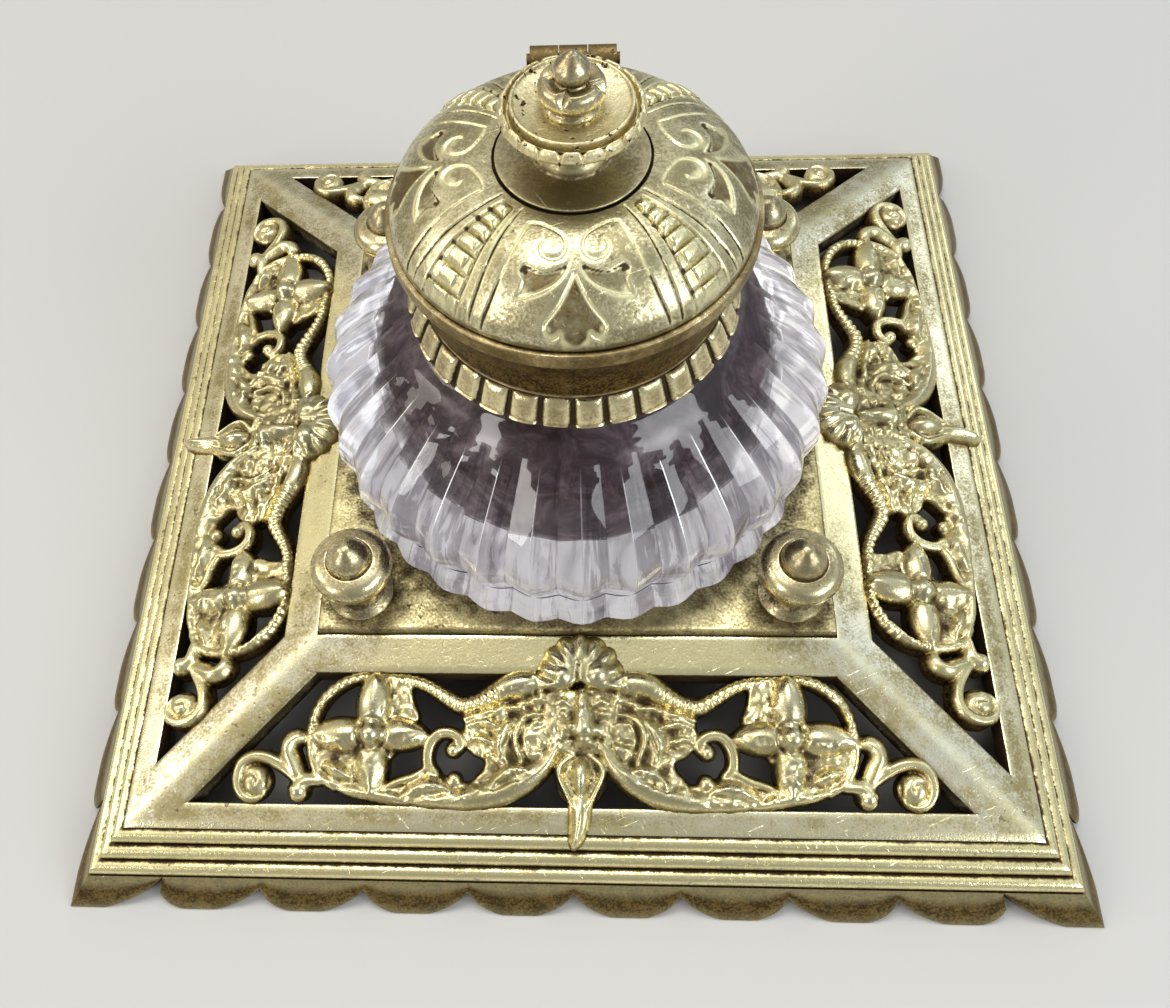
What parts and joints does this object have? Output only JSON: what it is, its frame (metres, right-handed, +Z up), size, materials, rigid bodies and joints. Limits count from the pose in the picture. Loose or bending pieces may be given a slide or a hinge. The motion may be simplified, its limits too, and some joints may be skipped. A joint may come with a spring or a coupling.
{
  "type": "desk inkstand",
  "caption": "Square brass desk inkstand with a scalloped edge, pierced scroll panels and corner knobs, holding a fluted glass ink bottle under a hinged, engraved domed lid.",
  "frame": {"origin": "on the table under the middle of the square stand", "axes": "+Z up out of the lid, -Y towards the front, the lid's hinge is on the +Y side"},
  "size_m": [0.152, 0.152, 0.09],
  "materials": {
    "aged_brass": "cast and turned, aged to an olive gold with worn bright edges",
    "yellow_brass": "cast relief, yellow on the high places and brown in the hollows",
    "tray_brass": "flat, dull and pitted",
    "dark_brass": "dull, unpolished",
    "cut_glass": "polished lead glass with a faint lilac tint",
    "plaster": "matte bedding plaster"
  },
  "bodies": {
    "stand": {"rim_frame": "aged_brass", "scroll_panel_front": "yellow_brass", "scroll_panel_right": "yellow_brass", "scroll_panel_back": "yellow_brass", "scroll_panel_left": "yellow_brass", "tray_plate": "tray_brass", "knob_front_left": "aged_brass", "knob_front_right": "aged_brass", "knob_back_right": "aged_brass", "knob_back_left": "aged_brass", "knob_washers": "dark_brass", "knob_nuts": "dark_brass"},
    "bottle": {"ink_bottle": "cut_glass", "cement_ring": "plaster", "neck_collar": "aged_brass", "hinge_leaf_collar": "aged_brass", "hinge_pin": "dark_brass"},
    "lid": {"lid": "aged_brass", "hinge_leaf_lid": "aged_brass", "finial_seat": "aged_brass", "finial_dish": "yellow_brass", "finial_bud": "aged_brass", "finial_nut": "dark_brass"}
  },
  "joints": [
    {"name": "bottle_lift", "type": "slide", "parent": "stand", "child": "bottle", "axis": [0, 0, 1], "range_m": [0, 0.06]},
    {"name": "lid_hinge", "type": "hinge", "parent": "bottle", "child": "lid", "pos_m": [0, 0.02615, 0.06759], "axis": [-1, 0, 0], "range_deg": [0, 105]}
  ]
}
